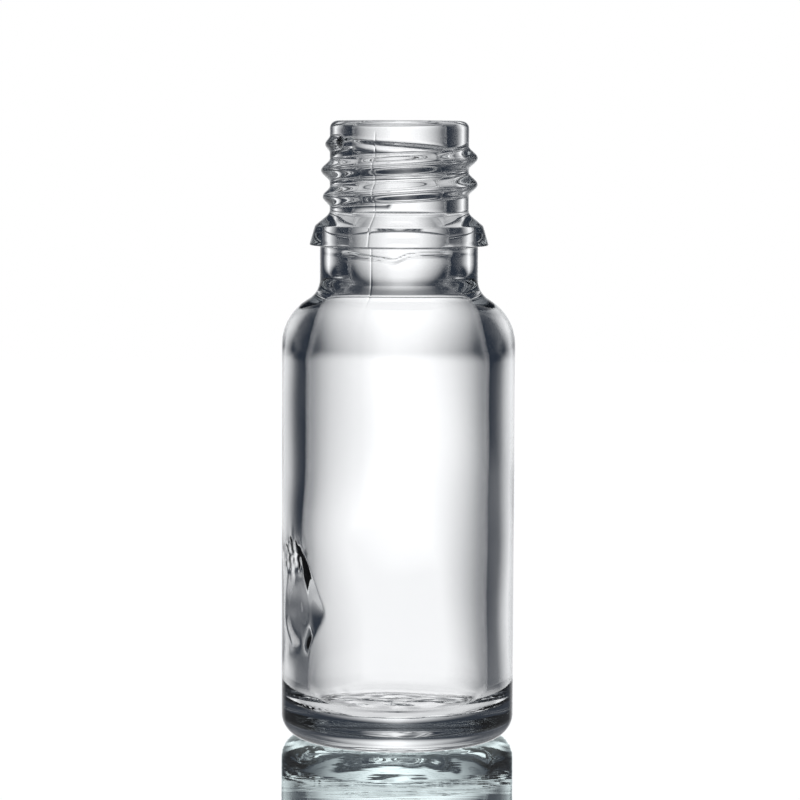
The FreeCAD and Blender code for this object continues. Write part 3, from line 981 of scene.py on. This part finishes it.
@dataclass
class Studio:
    """The floor, the camera and the light, in metres and degrees.

    Attributes:
        camera_place: Where the camera stands.
        camera_pitch: How far it looks up, below 0 for down.
        camera_roll: How far it leans.
        lens_pixels: Its focal length in pixels of the picture.
        picture_pixels: The picture's width in pixels.
        sensor: Width of the sensor in millimetres.
        clip_start: Nearest distance that it sees.
        tent_radius: Radius of the lit tent round the bottle.
        tent_faces: Its faces all round, and from pole to pole.
        dark: The little light that all of it gives.
        narrow_above: Height angle at which the bright field is half as wide.
        narrow_below: The same below the horizon.
        side_glow: Its fall-off to each side.
        height_glow: Its fall-off by the angle from straight down.
        ceiling: The most light that each height gives.
        floor_glow: Light from below and above, by the same angle.
        floor_sides: Fall-off of that light to the sides.
        floor_half: Half the width of the floor.
        floor_drop: How far it lies below the bottle, so that the two don't touch.
        floor_own: Its own light, as the camera sees it.
        floor_tint: Colour of its reflection.
        mirror: How strongly it mirrors at a flat angle.
        ripple_scale: How close the polish's fine waves are, in x, y and z.
        ripple_detail: How fine they get.
        ripple_height: Their height.
        room_light: Light of the room on what isn't glass.
        bounces: Most bounces of a ray, and most off gloss.
    """

    camera_place: Triple = (0.18 * MM, -352.0 * MM, 68.4 * MM)
    camera_pitch: float = -4.8
    camera_roll: float = 0.24
    lens_pixels: float = 3076.0
    picture_pixels: float = 800.0
    sensor: float = 36.0
    clip_start: float = 0.01
    tent_radius: float = 0.9
    tent_faces: tuple[int, int] = (96, 48)
    dark: Triple = (0.024, 0.031, 0.044)
    narrow_above: float = 17.5
    narrow_below: float = 60.0
    side_glow: dict[Side, Sequence[Knot]] = field(default_factory=lambda: {
        Side.LEFT: (
            Knot(0.0, 1.25), Knot(3.0, 1.2), Knot(5.0, 1.06), Knot(8.0, 0.93), Knot(11.0, 0.82),
            Knot(15.0, 0.68), Knot(20.0, 0.5), Knot(27.0, 0.3), Knot(33.0, 0.13),
            Knot(38.0, 0.04), Knot(44.0, 0.0), Knot(180.0, 0.0)),
        Side.RIGHT: (
            Knot(0.0, 1.25), Knot(4.0, 1.2), Knot(6.0, 1.15), Knot(9.0, 1.0), Knot(12.0, 0.84),
            Knot(16.0, 0.66), Knot(21.0, 0.48), Knot(28.0, 0.26), Knot(33.0, 0.12),
            Knot(38.0, 0.04), Knot(44.0, 0.0), Knot(180.0, 0.0))})
    height_glow: Sequence[Knot] = (
        Knot(0.0, 0.5), Knot(50.0, 0.7), Knot(65.0, 0.85), Knot(75.0, 0.95), Knot(84.0, 1.0),
        Knot(95.0, 1.0), Knot(102.0, 0.85), Knot(107.0, 0.65), Knot(115.0, 0.3),
        Knot(125.0, 0.12), Knot(140.0, 0.06), Knot(180.0, 0.03))
    ceiling: Sequence[Knot] = (
        Knot(0.0, 1.05), Knot(86.1, 1.05), Knot(87.2, 1.3), Knot(180.0, 1.3))
    floor_glow: Sequence[Knot] = (
        Knot(0.0, 0.75), Knot(50.0, 0.7), Knot(66.0, 0.5), Knot(80.0, 0.1), Knot(88.0, 0.0),
        Knot(125.0, 0.0), Knot(145.0, 0.3), Knot(180.0, 0.45))
    floor_sides: Sequence[Knot] = (
        Knot(0.0, 1.0), Knot(60.0, 1.0), Knot(120.0, 0.4), Knot(180.0, 0.2))
    floor_half: float = 0.6
    floor_drop: float = 0.02 * MM
    floor_own: float = 0.5
    floor_tint: Triple = (0.88, 1.0, 1.0)
    mirror: float = 1.22
    ripple_scale: Triple = (70.0, 450.0, 1.0)
    ripple_detail: float = 2.0
    ripple_height: float = 0.00003
    room_light: float = 0.5
    bounces: tuple[int, int] = (16, 12)

    def add_camera(self) -> bpy.types.Object:
        """Sets up the camera at the photograph's place.

        Returns:
            The camera, which is also the scene's.
        """
        data = bpy.data.cameras.new("camera")
        data.sensor_width = self.sensor
        data.lens = self.sensor * self.lens_pixels / self.picture_pixels
        data.clip_start = self.clip_start
        camera = add_object("camera", data)
        tilt = Matrix.Rotation(math.radians(90.0 + self.camera_pitch), 4, "X")
        roll = Matrix.Rotation(math.radians(self.camera_roll), 4, "Z")
        camera.matrix_world = Matrix.Translation(self.camera_place) @ tilt @ roll
        bpy.context.scene.camera = camera
        log.info("camera: lens %.1f mm", data.lens)
        return camera

    def add_tent(self, camera: bpy.types.Object) -> bpy.types.Object:
        """Adds the lit tent that the glass shows, which goes with the camera.

        Args:
            camera: The camera that carries it.

        Returns:
            The tent, which the camera itself doesn't see.
        """
        mesh = bpy.data.meshes.new("light_tent")
        sphere = bmesh.new()
        round_it, up_it = self.tent_faces
        bmesh.ops.create_uvsphere(sphere, u_segments=round_it, v_segments=up_it,
                                  radius=self.tent_radius)
        sphere.to_mesh(mesh)
        sphere.free()
        tent = add_object("light_tent", mesh)
        tent.parent = camera
        tent.location = (0.0, 0.0, self.camera_place[1])
        tent.visible_camera = False
        tent.visible_diffuse = False
        tent.visible_shadow = False
        tent.data.materials.append(self._tent_material())
        return tent

    def _tent_material(self) -> bpy.types.Material:
        """The tent's light: bright straight behind the bottle, dark to the sides.

        The floor's polish shows it as plain white, so that the floor stays white there.

        Returns:
            A material that only gives light.
        """
        made = bpy.data.materials.new("tent_light")
        shader = Shader(made)
        place = shader.node("ShaderNodeTexCoord").outputs["Object"]
        way = shader.node("ShaderNodeVectorMath", {0: place}, operation="NORMALIZE")
        parts = shader.node("ShaderNodeSeparateXYZ", {"Vector": way})
        across, up, back = (Value(shader, parts.outputs[name]) for name in ("X", "Y", "Z"))
        rise = shader.math("ARCSINE", up) * (180.0 / math.pi)
        above = shader.math("GREATER_THAN", rise, 0.0)
        narrow = rise * above * (1.0 / self.narrow_above) \
            + rise * (1.0 - above) * (1.0 / self.narrow_below)
        aside = shader.math("ABSOLUTE", shader.math("ARCTAN2", across, 0.0 - back))
        turn = aside * (1.0 + narrow * narrow)
        left = shader.profile(turn, self.side_glow[Side.LEFT])
        right = shader.profile(turn, self.side_glow[Side.RIGHT])
        glow = left + (right - left) * shader.math("GREATER_THAN", across, 0.0)
        tilt = (rise + 90.0) * (math.pi / 180.0)
        upright = shader.profile(tilt, self.height_glow)
        ground = shader.profile(tilt, self.floor_glow) \
            * shader.profile(aside, self.floor_sides)
        mirror = Value(shader, shader.node("ShaderNodeLightPath").outputs["Is Singular Ray"])
        most = shader.profile(tilt, self.ceiling)
        strength = shader.math("MAXIMUM", shader.math("MINIMUM", glow * upright, most), ground)
        strength = strength + (1.0 - strength) * mirror
        untint = tuple(1.0 / part for part in self.floor_tint)
        bright = shader.node("ShaderNodeMix", {0: mirror, 6: WHITE, 7: (*untint, 1.0)},
                             data_type="RGBA")
        lit = shader.node("ShaderNodeEmission", {"Color": bright.outputs[2], "Strength": strength})
        unlit = shader.node("ShaderNodeEmission", {"Color": (*self.dark, 1.0), "Strength": 1.0})
        both = shader.node("ShaderNodeAddShader", {0: lit, 1: unlit})
        shader.node("ShaderNodeOutputMaterial", {"Surface": both})
        return made

    def add_floor(self) -> bpy.types.Object:
        """Adds the glossy white floor.

        Returns:
            The floor, which the glass doesn't show.
        """
        half = self.floor_half
        mesh = bpy.data.meshes.new("floor")
        mesh.from_pydata([(-half, -half, 0), (half, -half, 0), (half, half, 0), (-half, half, 0)],
                         [], [(0, 1, 2, 3)])
        floor = add_object("floor", mesh)
        floor.location.z = -self.floor_drop
        floor.visible_glossy = False
        floor.visible_transmission = False
        floor.data.materials.append(self._floor_material())
        return floor

    def _floor_material(self) -> bpy.types.Material:
        """White and polished: it mirrors more the flatter it is looked at.

        Returns:
            The floor's material.
        """
        made = bpy.data.materials.new("polished_white")
        shader = Shader(made)
        seen = Value(shader, shader.node("ShaderNodeLightPath").outputs["Is Camera Ray"])
        weight = shader.node("ShaderNodeLayerWeight", {"Blend": 0.5})
        facing = Value(shader, weight.outputs["Facing"])
        own = shader.node("ShaderNodeEmission", {"Color": WHITE, "Strength": seen * self.floor_own})
        plain = shader.node("ShaderNodeBsdfDiffuse", {"Color": WHITE})
        white = shader.node("ShaderNodeAddShader", {0: own, 1: plain})
        place = shader.node("ShaderNodeTexCoord").outputs["Object"]
        stretched = shader.node("ShaderNodeMapping", {"Vector": place, "Scale": self.ripple_scale})
        ripples = shader.node("ShaderNodeTexNoise", {
            "Vector": stretched, "Scale": 1.0, "Detail": self.ripple_detail})
        bump = shader.node("ShaderNodeBump", {
            "Height": ripples, "Distance": self.ripple_height, "Strength": 1.0})
        gloss = shader.node("ShaderNodeBsdfGlossy", {
            "Normal": bump, "Color": (*self.floor_tint, 1.0), "Roughness": 0.0})
        surface = shader.node("ShaderNodeMixShader", {
            0: (facing * self.mirror).clamped(), 1: white, 2: gloss})
        shader.node("ShaderNodeOutputMaterial", {"Surface": surface})
        return made

    def light_world(self) -> None:
        """A white background and a plain light for what isn't glass."""
        world = bpy.data.worlds.new("white_room")
        bpy.context.scene.world = world
        shader = Shader(world)
        path = shader.node("ShaderNodeLightPath")
        seen = [Value(shader, path.outputs[name])
                for name in ("Is Camera Ray", "Is Glossy Ray", "Is Transmission Ray")]
        white = (seen[0] + seen[1] + seen[2]).clamped()
        strength = self.room_light + (1.0 - self.room_light) * white
        background = shader.node("ShaderNodeBackground", {"Color": WHITE, "Strength": strength})
        shader.node("ShaderNodeOutputWorld", {"Surface": background})

    def set_render(self) -> None:
        """Plain colours, and enough bounces for thick glass."""
        scene = bpy.context.scene
        scene.view_settings.view_transform = "Standard"
        most, off_gloss = self.bounces
        scene.cycles.max_bounces = most
        scene.cycles.transmission_bounces = most
        scene.cycles.glossy_bounces = off_gloss


def main() -> None:
    """Builds the bottle and the studio around it."""
    logging.basicConfig(level=logging.INFO, format="%(name)s: %(message)s")
    low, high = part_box(NODE)
    bottle = GlassBottle(overall_height=high.z / MM,
                         body_radius=min(high.x - low.x, high.y - low.y) / 2.0 / MM)
    glass = bottle.build()
    glass.data.materials.append(ClearGlass().material())
    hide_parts(NODE)
    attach(glass, BODY)

    studio = Studio()
    camera = studio.add_camera()
    studio.add_tent(camera)
    studio.add_floor()
    studio.light_world()
    studio.set_render()


if __name__ == "__main__":
    main()
